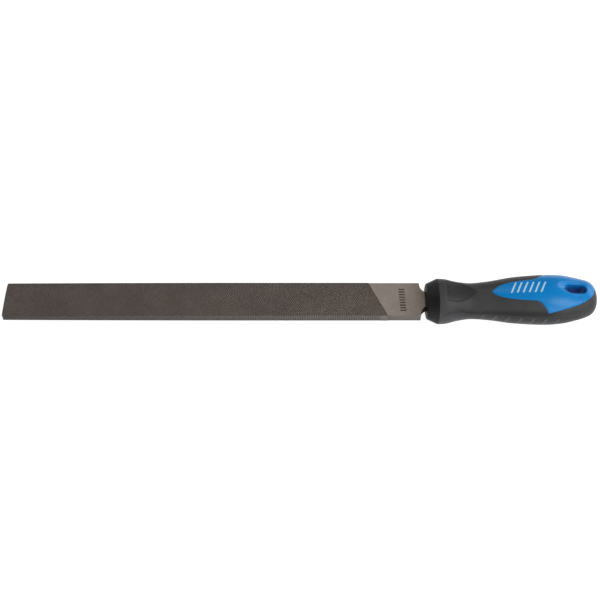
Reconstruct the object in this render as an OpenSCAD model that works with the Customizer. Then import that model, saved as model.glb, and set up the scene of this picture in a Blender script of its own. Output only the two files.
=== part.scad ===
// Flat file: a hardened steel blade with a tang, in a two-component handle.
// Millimetres. X runs along the file, with the point at -X and the handle at +X.
// Z is square to the cut faces. The origin is midway along the whole file, on the blade's axis.

/* [Blade] */
// Length of the blade, from the point to the shoulders
blade_length = 300; // [200:10:350]
// Width of the blade
blade_width = 29.7; // [22:0.1:34]
// Thickness over the cut faces, from the middle of the blade to the heel
blade_thickness = 6.4; // [5:0.2:8]
// Thickness at the point
point_thickness = 4.8; // [3.6:0.2:5]
// Length over which the blade thins towards the point
taper_length = 180; // [80:10:190]
// Height of the cut faces above the ground heel
cut_relief = 0.15; // [0.05:0.05:0.3]
// Length of the plain heel along the blade's far edge
heel_far = 37; // [20:0.2:60]
// Length of the plain heel along the blade's near edge
heel_near = 23.7; // [10:0.1:40]
// Chamfer on the two corners of the point
point_chamfer = 1; // [0.5:0.1:3]

/* [Tang] */
// Radius of the hollow shoulders
shoulder_radius = 6.4; // [3:0.1:7]
// Width of the tang behind the shoulders
tang_width = 12.4; // [8:0.2:14]
// Thickness of the tang behind the shoulders
tang_thickness = 6; // [4:0.2:6]
// Length of the tang, from the shoulders to its tip
tang_length = 84; // [50:1:90]
// Width of the tang at its tip
tang_tip_width = 4.4; // [3:0.2:6]
// Thickness of the tang at its tip
tang_tip_thickness = 3; // [2:0.2:4]

/* [Handle] */
// Length of the handle
handle_length = 123.5; // [115:0.5:140]
// Gap between the shoulders and the handle
neck_length = 4.5; // [2:0.5:8]
// Diameter of the handle's flat front face
front_diameter = 25.4; // [22:0.2:28]
// Diameter of the collar
collar_diameter = 32.8; // [30:0.2:36]
// Length of the cone between the front face and the collar
collar_cone = 8; // [5:0.5:9]
// Diameter of the waist behind the collar
waist_diameter = 26; // [24:0.5:28]
// Width of the belly
belly_width = 38; // [34:0.2:42]
// Thickness of the belly
belly_thickness = 33; // [28:0.2:34]
// Width of the handle where its butt starts to round off
butt_width = 29.6; // [26:0.2:32]
// Thickness of the handle where its butt starts to round off
butt_thickness = 21; // [18:0.2:24]
// Length of the rounded butt
butt_round = 9.6; // [7:0.2:12]
// Thickness of the soft grip over the core
grip_skin = 2.6; // [2:0.1:3]
// Angle by which the front face and the collar are out of square with the blade
front_lean = 2; // [0:0.5:3]

/* [Hang hole] */
// Length of the hang hole along the handle
hole_length = 15.6; // [12:0.2:18]
// Width of the hang hole
hole_width = 8.6; // [6:0.2:10]
// Distance from the butt to the middle of the hang hole
hole_setback = 16.8; // [15:0.1:20]
// Sideways offset of the hang hole from the blade's axis
hole_offset = 3; // [0:0.1:4]
// Angle between the hang hole and the blade's axis
hole_turn = 5; // [0:1:8]

/* [Hidden] */

total_length = blade_length + neck_length + handle_length;
point_x = -total_length / 2;
shoulder_x = point_x + blade_length;
handle_x = shoulder_x + neck_length;
butt_x = total_length / 2;
half_width = blade_width / 2;

// The point is crowned by this much over the width of the blade
point_crown = 0.3;
point_radius = (pow(half_width, 2) + pow(point_crown, 2)) / (2 * point_crown);

// Segments around the handle, and spacing of the sections along it
AROUND = 40;
SECTION_STEP = 3;
END_STEPS = 7;

// The butt is blunter than an ellipse, which would have a power of 2
BUTT_POWER = 2.5;

// Distance from the front face over which the lean dies away
LEAN_LENGTH = 40;

// Shape of the handle behind the collar. Each row is the distance from the front face, the half width,
// the half thickness, and the sideways offset of the section's middle from the blade's axis.
SECTIONS = [
    [collar_cone + 1, collar_diameter / 2, collar_diameter / 2, 0.1],
    [20, 0.55 * collar_diameter / 2 + 0.45 * waist_diameter / 2,
         0.55 * collar_diameter / 2 + 0.45 * waist_diameter / 2, 0.15],
    [32, waist_diameter / 2, waist_diameter / 2, 0.4],
    [46, waist_diameter / 2 + 1.3, waist_diameter / 2 + 1, 0.8],
    [62, belly_width / 2 - 1.8, belly_thickness / 2 - 0.9, 1.2],
    [0.69 * handle_length, belly_width / 2, belly_thickness / 2, 1.65],
    [0.8 * handle_length, belly_width / 2 - 0.2, belly_thickness / 2 - 1.8, 2.1],
    [0.88 * handle_length, butt_width / 2 + 2.1, butt_thickness / 2 + 1.7, 2.45],
    [handle_length - 7, butt_width / 2, butt_thickness / 2, 2.9],
    [handle_length, butt_width / 2 - 1.4, butt_thickness / 2 - 1.2, 3.6]
];

// Window in the grip through which the core shows, seen in plan. Each row is one cubic curve: its start,
// its two handles and its end, as distances from the front face and from the blade's axis.
WINDOW = [
    [[46.2, -1.2], [47.6, -6], [62, -8.3], [75.6, -9]],
    [[75.6, -9], [80, -9.4], [82.6, -11.8], [85.8, -15.8]],
    [[85.8, -15.8], [100.8, -13.7], [121.2, -7], [121.2, 6.5]],
    [[121.2, 6.5], [121.2, 14.5], [113, 18.6], [86, 18.8]],
    [[86, 18.8], [82.5, 14], [79, 9.6], [74.5, 8.8]],
    [[74.5, 8.8], [62, 7.6], [51, 5.5], [46.2, -1.2]]
];
WINDOW_STEPS = 6;

// Width of the window on the underside, as a share of the one on top
UNDER_SHARE = 0.84;

// Cubic curve through four control points, at t from 0 to 1
function cubic(p, t) =
    pow(1 - t, 3) * p[0] + 3 * pow(1 - t, 2) * t * p[1] + 3 * (1 - t) * pow(t, 2) * p[2] + pow(t, 3) * p[3];

// Slope of column k of the sections at row i
function slope(i, k) =
    let(
        lo = max(i - 1, 0),
        hi = min(i + 1, len(SECTIONS) - 1)
    )
    (SECTIONS[hi][k] - SECTIONS[lo][k]) / (SECTIONS[hi][0] - SECTIONS[lo][0]);

// Row of the sections that the distance s lies behind
function row_at(s, i = 0) =
    (i >= len(SECTIONS) - 2 || s <= SECTIONS[i + 1][0]) ? i : row_at(s, i + 1);

// Column k of the sections at the distance s, on a smooth curve through the rows
function smooth_at(s, k) =
    let(
        i = row_at(s),
        w = SECTIONS[i + 1][0] - SECTIONS[i][0],
        t = (s - SECTIONS[i][0]) / w,
        y0 = SECTIONS[i][k],
        y1 = SECTIONS[i + 1][k]
    )
    cubic([y0, y0 + slope(i, k) * w / 3, y1 - slope(i + 1, k) * w / 3, y1], t);

// Radius of the cone at the front of the handle
function cone_at(s) =
    front_diameter / 2 + (collar_diameter - front_diameter) / 2 * min(s / collar_cone, 1);

function in_cone(s) = s < collar_cone + 1;
function half_width_at(s) = in_cone(s) ? cone_at(s) : smooth_at(s, 1);
function half_thickness_at(s) = in_cone(s) ? cone_at(s) : smooth_at(s, 2);
function offset_at(s) = in_cone(s) ? SECTIONS[0][3] : smooth_at(s, 3);

// Outline of one cross-section, drawn in by inset and then scaled by k
function ring(s, inset, k) = [
    for (j = [0 : AROUND - 1])
        let(
            a = 360 * j / AROUND,
            y = offset_at(s) + k * (half_width_at(s) - inset) * cos(a),
            shift = y * tan(front_lean) * max(1 - s / LEAN_LENGTH, 0)
        )
        [handle_x + s - shift, y, k * (half_thickness_at(s) - inset) * sin(a)]
];

// Size of the butt's sections at the part u of its length, as a share of the section where it starts
function butt_scale(u) = pow(1 - pow(u, BUTT_POWER), 1 / BUTT_POWER);

// Solid of the handle's outer shape, drawn in by inset all round
module handle_form(inset) {
    back = handle_length - inset;
    round_from = back - butt_round;
    steps = round((round_from - collar_cone) / SECTION_STEP);
    rings = concat(
        [ring(inset, inset, 1)],
        [for (i = [0 : steps]) ring(collar_cone + (round_from - collar_cone) * i / steps, inset, 1)],
        [
            for (i = [1 : END_STEPS - 1])
                let(u = sin(90 * i / END_STEPS))
                ring(round_from + butt_round * u, inset, butt_scale(u))
        ]
    );
    tip = [handle_x + back, offset_at(back), 0];
    last = len(rings) - 1;
    points = concat([for (r = rings) for (p = r) p], [tip]);
    sides = [
        for (i = [0 : last - 1])
            for (j = [0 : AROUND - 1])
                let(
                    a = i * AROUND + j,
                    b = i * AROUND + (j + 1) % AROUND
                )
                each [[a, b + AROUND, b], [a, a + AROUND, b + AROUND]]
    ];
    front = [for (j = [0 : AROUND - 1]) j];
    cap = [
        for (j = [0 : AROUND - 1])
            [last * AROUND + (j + 1) % AROUND, last * AROUND + j, len(points) - 1]
    ];
    polyhedron(points, concat([front], sides, cap));
}

// Prisms through the handle that open the window on the top and on the underside
module window_prisms() {
    outline = [
        for (curve = WINDOW)
            for (i = [0 : WINDOW_STEPS - 1])
                cubic(curve, i / WINDOW_STEPS)
    ];
    translate([handle_x, 0, 0])
        linear_extrude(belly_thickness)
        polygon(outline);
    translate([handle_x, 0, -belly_thickness])
        linear_extrude(belly_thickness)
        scale([1, UNDER_SHARE])
        polygon(outline);
}

// Slot with round ends, cut through the handle
module hang_hole() {
    reach = (hole_length - hole_width) / 2;
    translate([butt_x - hole_setback, hole_offset, -belly_thickness])
        rotate(hole_turn)
        linear_extrude(2 * belly_thickness)
        union() {
            square([2 * reach, hole_width], center = true);
            for (side = [-1, 1])
                translate([side * reach, 0])
                circle(d = hole_width, $fn = 48);
        }
}

// Plan of the tang behind the shoulder fillets
module tang_plan() {
    polygon([
        [shoulder_x, -tang_width / 2],
        [shoulder_x + shoulder_radius, -tang_width / 2],
        [shoulder_x + tang_length, -tang_tip_width / 2],
        [shoulder_x + tang_length, tang_tip_width / 2],
        [shoulder_x + shoulder_radius, tang_width / 2],
        [shoulder_x, tang_width / 2]
    ]);
}

// Plan of the parallel blade, with its crowned and chamfered point
module blade_plan() {
    intersection() {
        polygon([
            [point_x, -half_width + point_chamfer],
            [point_x + point_chamfer, -half_width],
            [shoulder_x, -half_width],
            [shoulder_x, half_width],
            [point_x + point_chamfer, half_width],
            [point_x, half_width - point_chamfer]
        ]);
        translate([point_x + point_radius, 0])
            circle(r = point_radius, $fn = 720);
    }
}

// Plan of the hollow shoulders between the blade and the tang
module shoulder_plan() {
    web = tang_width / 2 + shoulder_radius;
    difference() {
        translate([shoulder_x, -web])
            square([shoulder_radius, 2 * web]);
        for (side = [-1, 1])
            translate([shoulder_x + shoulder_radius, side * web])
            circle(r = shoulder_radius, $fn = 96);
    }
}

// Plan of the part of the blade that is cut with teeth
module cut_plan() {
    intersection() {
        blade_plan();
        polygon([
            [point_x - 1, -half_width],
            [shoulder_x - heel_near, -half_width],
            [shoulder_x - heel_far, half_width],
            [point_x - 1, half_width]
        ]);
    }
}

// Half thickness of the blade at the distance s from the point
function blade_half_at(s) =
    blade_thickness / 2 - (blade_thickness - point_thickness) / 2 * pow(max(1 - s / taper_length, 0), 2);

// Solid between the two faces, drawn in by inset, over the whole length of blade and tang
module thickness_form(inset) {
    taper_steps = 6;
    top = concat(
        [
            for (i = [0 : taper_steps])
                let(s = taper_length * i / taper_steps)
                [point_x + s, blade_half_at(s) - inset]
        ],
        [
            [shoulder_x, blade_thickness / 2 - inset],
            [shoulder_x + shoulder_radius, tang_thickness / 2],
            [shoulder_x + tang_length, tang_tip_thickness / 2]
        ]
    );
    bottom = [for (i = [len(top) - 1 : -1 : 0]) [top[i][0], -top[i][1]]];
    rotate([90, 0, 0])
        linear_extrude(2 * blade_width, center = true)
        polygon(concat(top, bottom));
}

// Blade and tang, one piece of steel
module file_blade() {
    color([0.42, 0.39, 0.36])
    union() {
        intersection() {
            thickness_form(cut_relief);
            linear_extrude(2 * blade_thickness, center = true)
            union() {
                blade_plan();
                shoulder_plan();
                tang_plan();
            }
        }
        intersection() {
            thickness_form(0);
            linear_extrude(2 * blade_thickness, center = true)
            cut_plan();
        }
    }
}

// Everything in the handle that the core fills
module core_form() {
    intersection() {
        handle_form(0);
        union() {
            handle_form(grip_skin);
            window_prisms();
        }
    }
}

// Rigid core with the socket for the tang and the hang hole
module handle_core() {
    color([0.03, 0.47, 0.78])
    difference() {
        core_form();
        file_blade();
        hang_hole();
    }
}

// Soft grip moulded over the core
module handle_grip() {
    color([0.16, 0.16, 0.17])
    difference() {
        handle_form(0);
        handle_form(grip_skin);
        window_prisms();
        file_blade();
    }
}

file_blade();
handle_core();
handle_grip();
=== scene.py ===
import math
import random
from bisect import bisect_right

import bpy
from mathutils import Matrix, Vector
from mathutils.geometry import tessellate_polygon


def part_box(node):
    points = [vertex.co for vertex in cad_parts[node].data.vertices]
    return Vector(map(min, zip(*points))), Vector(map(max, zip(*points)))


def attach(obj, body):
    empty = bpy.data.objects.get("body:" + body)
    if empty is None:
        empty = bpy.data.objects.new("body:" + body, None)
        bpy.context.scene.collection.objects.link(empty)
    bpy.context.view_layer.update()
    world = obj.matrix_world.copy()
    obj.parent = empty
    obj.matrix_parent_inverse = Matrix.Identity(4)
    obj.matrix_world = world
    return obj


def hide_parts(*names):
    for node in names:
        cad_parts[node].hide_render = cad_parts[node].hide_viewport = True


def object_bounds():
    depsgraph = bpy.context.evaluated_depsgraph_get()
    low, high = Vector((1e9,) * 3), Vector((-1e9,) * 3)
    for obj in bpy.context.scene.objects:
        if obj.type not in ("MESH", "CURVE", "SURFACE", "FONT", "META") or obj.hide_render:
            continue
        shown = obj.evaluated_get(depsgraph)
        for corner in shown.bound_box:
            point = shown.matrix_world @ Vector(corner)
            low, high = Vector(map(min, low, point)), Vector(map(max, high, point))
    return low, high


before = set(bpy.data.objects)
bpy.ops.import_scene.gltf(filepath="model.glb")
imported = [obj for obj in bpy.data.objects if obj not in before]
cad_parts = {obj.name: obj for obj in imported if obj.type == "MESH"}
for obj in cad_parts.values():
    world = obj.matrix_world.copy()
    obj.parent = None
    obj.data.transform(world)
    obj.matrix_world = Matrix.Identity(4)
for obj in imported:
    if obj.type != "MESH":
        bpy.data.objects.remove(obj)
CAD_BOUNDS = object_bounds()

# Lengths are millimetres until MM turns them into metres, apart from those of the lights and the floor.
MM = 0.001
WHITE = (1.0, 1.0, 1.0, 1.0)


def millimetres(corner):
    return [c / MM for c in corner]


def blend(start, end, share):
    return start + (end - start) * share


def smoothstep(low, high, value):
    t = min(max((value - low) / (high - low), 0.0), 1.0)
    return t * t * (3 - 2 * t)


BLADE_LOW, BLADE_HIGH = [millimetres(c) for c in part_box("file_blade")]
GRIP_HIGH = millimetres(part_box("handle_grip")[1])

# ---- camera, light and floor

# The view looks along +Y and down, from in front of the edge with the edge teeth.
CAMERA_ELEVATION = math.radians(53)
CAMERA_DISTANCE = 843.8
CAMERA_LENS = 70
AIM = (-0.6, 0.93, 0.70)


def add_object(name, data):
    thing = bpy.data.objects.new(name, data)
    bpy.context.collection.objects.link(thing)
    return thing


def aim_at(thing, target):
    direction = Vector(target) - thing.location
    thing.rotation_euler = direction.to_track_quat("-Z", "Y").to_euler()


def add_camera():
    data = bpy.data.cameras.new("camera")
    data.lens = CAMERA_LENS
    data.clip_start = 0.01
    camera = add_object("camera", data)
    target = Vector(AIM) * MM
    away = Vector((0, -math.cos(CAMERA_ELEVATION), math.sin(CAMERA_ELEVATION)))
    camera.location = target + away * CAMERA_DISTANCE * MM
    aim_at(camera, target)
    bpy.context.scene.camera = camera


def add_softbox(name, place, target, width, depth, power):
    data = bpy.data.lights.new(name, "AREA")
    data.shape = "RECTANGLE"
    data.size = width
    data.size_y = depth
    data.energy = power
    light = add_object(name, data)
    light.location = place
    aim_at(light, target)


def add_studio():
    add_softbox("back_softbox", (-0.22, 0.45, 1.05), (-0.05, 0, 0), 0.9, 0.6, 2.6)
    add_softbox("right_softbox", (0.9, 0.45, 0.4), (0.17, 0, 0), 0.6, 0.5, 3)
    add_softbox("key_softbox", (0.72, -0.4, 0.73), (0.17, 0, 0), 0.5, 0.5, 4.5)
    add_softbox("front_softbox", (0.53, -0.82, 0.42), (0.12, 0, 0), 0.5, 0.4, 2)
    world = bpy.data.worlds.new("studio")
    world.use_nodes = True
    background = world.node_tree.nodes["Background"]
    background.inputs["Color"].default_value = WHITE
    background.inputs["Strength"].default_value = 0.18
    bpy.context.scene.world = world
    bpy.context.scene.view_settings.view_transform = "Standard"


def add_floor():
    """A pale lit table top that the handle rests on."""
    half = 3.0
    z = CAD_BOUNDS[0][2]
    corners = [(-half, -half, z), (half, -half, z), (half, half, z), (-half, half, z)]
    mesh = bpy.data.meshes.new("floor")
    mesh.from_pydata(corners, [], [(0, 1, 2, 3)])
    table = Nodes("pale_table", grey(0.25), 0.9)
    table.shader.inputs["Emission Color"].default_value = WHITE
    table.shader.inputs["Emission Strength"].default_value = 0.95
    mesh.materials.append(table.material)
    floor = add_object("floor", mesh)


# ---- materials

def grey(value):
    return (value, value, value)


class Nodes:
    """A Principled material and short ways to add the nodes that vary it."""

    def __init__(self, name, color, roughness, metallic=0.0, specular=0.5):
        self.material = bpy.data.materials.new(name)
        self.material.use_nodes = True
        self.tree = self.material.node_tree
        self.shader = self.tree.nodes["Principled BSDF"]
        self.shader.inputs["Base Color"].default_value = (*color, 1)
        self.shader.inputs["Roughness"].default_value = roughness
        self.shader.inputs["Metallic"].default_value = metallic
        self.shader.inputs["Specular IOR Level"].default_value = specular
        self.coordinates = self.add("TexCoord").outputs["Object"]

    def add(self, kind, **values):
        """A new node with some of its inputs set."""
        node = self.tree.nodes.new("ShaderNode" + kind)
        for name, value in values.items():
            node.inputs[name.replace("_", " ")].default_value = value
        return node

    def link(self, output, node, socket):
        self.tree.links.new(output, node.inputs[socket])

    def noise(self, scale, detail=2.0, roughness=0.5, stretch=(1, 1, 1)):
        mapping = self.add("Mapping", Scale=stretch)
        self.link(self.coordinates, mapping, "Vector")
        node = self.add("TexNoise", Scale=scale, Detail=detail, Roughness=roughness)
        self.link(mapping.outputs["Vector"], node, "Vector")
        return node.outputs["Fac"]

    def ramp(self, source, low, high, color_low, color_high):
        """Blends between two colours as source goes from low to high."""
        node = self.add("ValToRGB")
        node.color_ramp.elements[0].position = low
        node.color_ramp.elements[1].position = high
        node.color_ramp.elements[0].color = (*color_low, 1)
        node.color_ramp.elements[1].color = (*color_high, 1)
        self.link(source, node, "Fac")
        return node.outputs["Color"]

    def span(self, source, from_low, from_high, low, high):
        node = self.add("MapRange", From_Min=from_low, From_Max=from_high, To_Min=low, To_Max=high)
        self.link(source, node, "Value")
        return node.outputs["Result"]

    def mix(self, factor, first, second, mode="MIX"):
        node = self.add("Mix")
        node.data_type = "RGBA"
        node.blend_type = mode
        self.put(factor, node.inputs[0])
        self.put(first, node.inputs[6])
        self.put(second, node.inputs[7])
        return node.outputs[2]

    def times(self, first, second):
        return self.mix(1.0, first, second, "MULTIPLY")

    def put(self, value, socket):
        if isinstance(value, (int, float)):
            socket.default_value = value
        elif isinstance(value, tuple):
            socket.default_value = (*value, 1)
        else:
            self.tree.links.new(value, socket)

    def fade(self, axis, start, end, top=1.0):
        """0 up to the place start along an axis, rising to top at end. Places are in millimetres."""
        node = self.add("SeparateXYZ")
        self.link(self.coordinates, node, "Vector")
        return self.span(node.outputs[axis], start * MM, end * MM, 0.0, top)

    def attribute(self, name):
        node = self.add("Attribute")
        node.attribute_name = name
        return node.outputs["Fac"]

    def bump(self, height, distance, strength=1.0, under=None):
        node = self.add("Bump", Distance=distance * MM, Strength=strength)
        self.link(height, node, "Height")
        if under is not None:
            self.link(under, node, "Normal")
        return node.outputs["Normal"]

    def color(self, output):
        self.link(output, self.shader, "Base Color")

    def roughness(self, low, high, scale, detail=3, grain=0.5):
        """Uneven roughness from low to high, in patches that scale, detail and grain set."""
        uneven = self.span(self.noise(scale, detail, grain), 0.3, 0.7, low, high)
        self.link(uneven, self.shader, "Roughness")

    def normal(self, output):
        self.link(output, self.shader, "Normal")


def cut_steel():
    """Hardened steel of the cut faces: dark, brownish and stained, with painted shade between the teeth and
    a painted highlight on their tips.
    """
    n = Nodes("cut_steel", (0.2, 0.18, 0.16), 0.42, 1.0)
    stain = n.ramp(n.noise(45, 4, 0.6), 0.38, 0.68, (0.90, 0.89, 0.88), (1.04, 1.035, 1.03))
    grit = n.ramp(n.noise(1400), 0.3, 0.7, grey(0.88), grey(1.08))
    # Painted shade in the valleys between the teeth and a painted highlight on their tips
    valley_shade = n.ramp(n.attribute("tooth_depth"), 0.1, 0.8, grey(1.12), grey(0.72))
    n.color(n.times(n.times(n.times((0.24, 0.205, 0.185), stain), valley_shade), grit))
    n.roughness(0.62, 0.76, 600)
    n.normal(n.bump(n.noise(3500), 0.02, 0.6))
    return n.material


def edge_steel():
    """Steel of the narrow edges, with painted light: darker towards the point and brighter towards the heel,
    a painted highlight on the tips of the edge teeth with painted shade in their valleys, and painted shade
    towards the underside.
    """
    n = Nodes("edge_steel", (0.1, 0.095, 0.09), 0.4, 1.0)
    # Painted light: the toothed edge darkens towards the point and brightens towards the heel
    base = n.mix(n.fade("X", POINT_X, SHOULDER_X - 26), (0.064, 0.057, 0.055), (0.122, 0.111, 0.105))
    plain = n.fade("X", SHOULDER_X - 31, SHOULDER_X - 20)
    toned = n.mix(plain, base, (0.15, 0.134, 0.126))
    # Painted highlight on the tips of the edge teeth and painted shade in their valleys
    tooth_light_and_shade = n.ramp(n.attribute("edge_tooth"), 0.1, 0.9, grey(1.5), grey(0.45))
    toothed = n.times(toned, n.mix(plain, tooth_light_and_shade, grey(1.0)))
    # Painted shade: the edges darken towards the underside and lighten towards the top
    underside_shade = n.fade("Z", -HALF_THICKNESS, HALF_THICKNESS)
    n.color(n.times(toothed, n.mix(underside_shade, (0.88, 0.87, 0.86), grey(1.1))))
    n.roughness(0.32, 0.5, 500)
    n.normal(n.bump(n.noise(2500, 2, 0.5, (0.15, 1, 1)), 0.02, 0.5))
    return n.material


def ground_steel():
    """Heel and tang: satin-ground steel with fine scratches across, mottled, browner and darker towards the
    handle, with painted shade right at the handle's mouth.
    """
    n = Nodes("ground_steel", (0.4, 0.36, 0.33), 0.36, 1.0)
    cloud = n.ramp(n.noise(70, 5, 0.62), 0.32, 0.72, (0.35, 0.30, 0.262), (0.415, 0.357, 0.318))
    fleck = n.ramp(n.noise(900, 3, 0.6), 0.35, 0.75, grey(0.9), grey(1.06))
    # Browner and darker towards the handle
    warm = n.mix(n.fade("X", SHOULDER_X - 16, SHOULDER_X + 2.5, 0.3), cloud, (0.10, 0.078, 0.062))
    # Painted shade where the tang goes into the handle
    handle_shade = n.mix(n.fade("X", SHOULDER_X + 2.5, SHOULDER_X + 4.3, 0.95), warm, (0.02, 0.016, 0.014))
    n.color(n.times(handle_shade, fleck))
    n.roughness(0.42, 0.54, 350, 4, 0.55)
    scratches = n.noise(2600, 2, 0.5, (1.0, 0.04, 1.0))
    n.normal(n.bump(scratches, 0.012, 0.7, n.bump(n.noise(1500, 3, 0.6), 0.012, 0.5)))
    return n.material


def stamped_steel():
    """Floor of the stamped strokes, darkened by scale."""
    n = Nodes("stamped_steel", (0.08, 0.066, 0.052), 0.6, 0.6)
    n.color(n.ramp(n.noise(1500, 3, 0.6), 0.3, 0.7, (0.06, 0.05, 0.04), (0.11, 0.092, 0.075)))
    n.normal(n.bump(n.noise(2500), 0.03, 0.7))
    return n.material


def grip_rubber():
    """Soft black elastomer with a fine moulded grain, darker in the thumb rest, with painted light along the
    near side: a painted reflection at the front of the finger panel, painted highlights on the finger ribs
    and painted shade just above the panel.
    """
    n = Nodes("grip_rubber", (0.03, 0.03, 0.032), 0.5, specular=0.32)
    cloud = n.ramp(n.noise(90, 3), 0.3, 0.7, (0.037, 0.037, 0.038), (0.048, 0.048, 0.050))
    resting = n.mix(n.attribute("thumb_rest"), cloud, (0.021, 0.021, 0.0215))
    # Painted light on the finger panel: a paler, bluer painted reflection at its front, darker behind
    panel = n.mix(n.fade("X", HANDLE_X + 13.5, HANDLE_X + 31.5), (0.045, 0.045, 0.05), (0.024, 0.024, 0.027))
    panelled = n.mix(n.attribute("finger_panel"), resting, panel)
    # Painted highlight on the finger ribs
    rib_highlighted = n.mix(n.attribute("finger_rib_highlight"), panelled, (0.075, 0.075, 0.08))
    # Painted shade in a band just above the finger panel
    n.color(n.mix(n.attribute("crease"), rib_highlighted, (0.0115, 0.0115, 0.0128)))
    n.roughness(0.44, 0.58, 700)
    n.normal(n.bump(n.noise(2200, 3, 0.55), 0.05, 0.55, n.bump(n.noise(160), 0.12, 0.25)))
    return n.material


def collar_rubber():
    """Dull elastomer of the front face and the collar, darker than the rest of the grip, with painted light
    making it lighter towards the far side.
    """
    n = Nodes("collar_rubber", (0.008, 0.008, 0.008), 0.6, specular=0.2)
    cloud = n.ramp(n.noise(120, 3), 0.3, 0.7, grey(0.009), (0.013, 0.013, 0.0132))
    # Painted light: lighter towards the far side
    n.color(n.mix(n.fade("Y", -8, 3), cloud, (0.027, 0.0255, 0.0265)))
    n.roughness(0.5, 0.66, 700)
    n.normal(n.bump(n.noise(2200, 3, 0.55), 0.05, 0.5))
    return n.material


def core_plastic():
    """Satin blue polypropylene, with a painted highlight on the lip of the dish and painted shade inside the
    hang hole.
    """
    n = Nodes("core_plastic", (0.001, 0.23, 0.6), 0.34, specular=0.25)
    cloud = n.ramp(n.noise(70, 3), 0.3, 0.7, (0.0005, 0.205, 0.56), (0.0008, 0.225, 0.60))
    # Painted highlight on the lip of the dish
    lip_highlighted = n.mix(n.attribute("dish_lip_highlight"), cloud, (0.016, 0.26, 0.63))
    # Painted shade inside the hang hole
    n.color(n.mix(n.attribute("bore"), lip_highlighted, (0.001, 0.065, 0.31)))
    n.roughness(0.26, 0.34, 900)
    n.normal(n.bump(n.noise(1600, 3), 0.015, 0.2))
    return n.material


def print_ink():
    """Pale printed strokes on the core."""
    n = Nodes("print_ink", (0.55, 0.75, 0.95), 0.4)
    n.color(n.ramp(n.noise(1800, 3), 0.3, 0.7, (0.36, 0.60, 0.84), (0.52, 0.75, 0.93)))
    n.normal(n.bump(n.noise(2500), 0.01, 0.4))
    return n.material


# ---- mesh code

MERGE_DIGITS = 4


class Shape:
    """Faces in millimetres whose corners merge where they meet. side -1 mirrors what is added in Z."""

    def __init__(self):
        self.points = []
        self.index = {}
        self.faces = []
        self.finishes = []
        self.smooth = []
        self.side = 1

    def point(self, x, y, z):
        key = tuple(round(c, MERGE_DIGITS) for c in (x, y, z))
        if key not in self.index:
            self.index[key] = len(self.points)
            self.points.append((x, y, z))
        return self.index[key]

    def face(self, corners, finish=0, smooth=True):
        """Adds a face whose corners run anticlockwise as seen from outside."""
        loop = []
        for x, y, z in corners:
            i = self.point(x, y, z * self.side)
            if i not in loop:
                loop.append(i)
        if len(loop) < 3:
            return
        self.faces.append(loop if self.side > 0 else loop[::-1])
        self.finishes.append(finish)
        self.smooth.append(smooth)

    def grid(self, rows, finish=0, smooth=True, turn=False):
        """Faces between rows of points. Rows run one way and points along a row the other."""
        for row, after in zip(rows, rows[1:]):
            for k in range(len(row) - 1):
                corners = [row[k], row[k + 1], after[k + 1], after[k]]
                self.face(corners[::-1] if turn else corners, finish, smooth)


def mesh_object(name, shape, materials, crease=40):
    mesh = bpy.data.meshes.new(name)
    mesh.from_pydata([[c * MM for c in p] for p in shape.points], [], shape.faces)
    for material in materials:
        mesh.materials.append(material)
    mesh.polygons.foreach_set("material_index", shape.finishes)
    mesh.polygons.foreach_set("use_smooth", shape.smooth)
    mesh.set_sharp_from_angle(angle=math.radians(crease))
    mesh.update()
    return add_object(name, mesh)


def paint(thing, name, values):
    """Keeps one number per mesh point, for a material to read."""
    layer = thing.data.attributes.new(name, "FLOAT", "POINT")
    layer.data.foreach_set("value", values)


def stitch(shape, inner, outer, finish):
    """Triangles between two lines of (t, point), each sorted by t. inner lies to the left of outer."""
    i = 0
    j = 0
    while i < len(inner) - 1 or j < len(outer) - 1:
        inner_next = inner[i + 1][0] if i < len(inner) - 1 else math.inf
        outer_next = outer[j + 1][0] if j < len(outer) - 1 else math.inf
        if inner_next <= outer_next:
            shape.face([inner[i][1], outer[j][1], inner[i + 1][1]], finish, False)
            i += 1
        else:
            shape.face([inner[i][1], outer[j][1], outer[j + 1][1]], finish, False)
            j += 1


# ---- blade

POINT_X = BLADE_LOW[0]
HALF_WIDTH = BLADE_HIGH[1]
HALF_THICKNESS = BLADE_HIGH[2]
TANG_TIP_X = BLADE_HIGH[0]

# Distances that the design gives: the tang and neck, the taper and the plain heel
TANG_LENGTH = 84
NECK_LENGTH = 4.5
TAPER_LENGTH = 180
TAPER_DEPTH = 0.8
HEEL_FAR = 37
HEEL_NEAR = 23.7
CUT_RELIEF = 0.15
POINT_CHAMFER = 1.0
POINT_CROWN = 0.24
SHOULDER_RADIUS = 6.4
SHOULDER_INSET = 0.15
TANG_HALF_WIDTH = 6.2
TANG_HALF_THICKNESS = 3.0
TANG_TIP_HALF_WIDTH = 2.2
TANG_TIP_HALF_THICKNESS = 1.5
SHOULDER_X = TANG_TIP_X - TANG_LENGTH
HANDLE_X = SHOULDER_X + NECK_LENGTH

# Teeth. Both cuts are straight rows x + lean * y = constant, spaced by pitch along X.
UPCUT_LEAN = (HEEL_FAR - HEEL_NEAR) / (2 * HALF_WIDTH)
UPCUT_PITCH = 1.3
UPCUT_DEPTH = 0.28
UPCUT_WANDER = 0.015
OVERCUT_LEAN = -0.82
OVERCUT_PITCH = 1.47
OVERCUT_DEPTH = 0.25
OVERCUT_WANDER = 0.02
TOOTH_FRONT = 0.32
CUT_END = SHOULDER_X - (HEEL_FAR + HEEL_NEAR) / 2

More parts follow.
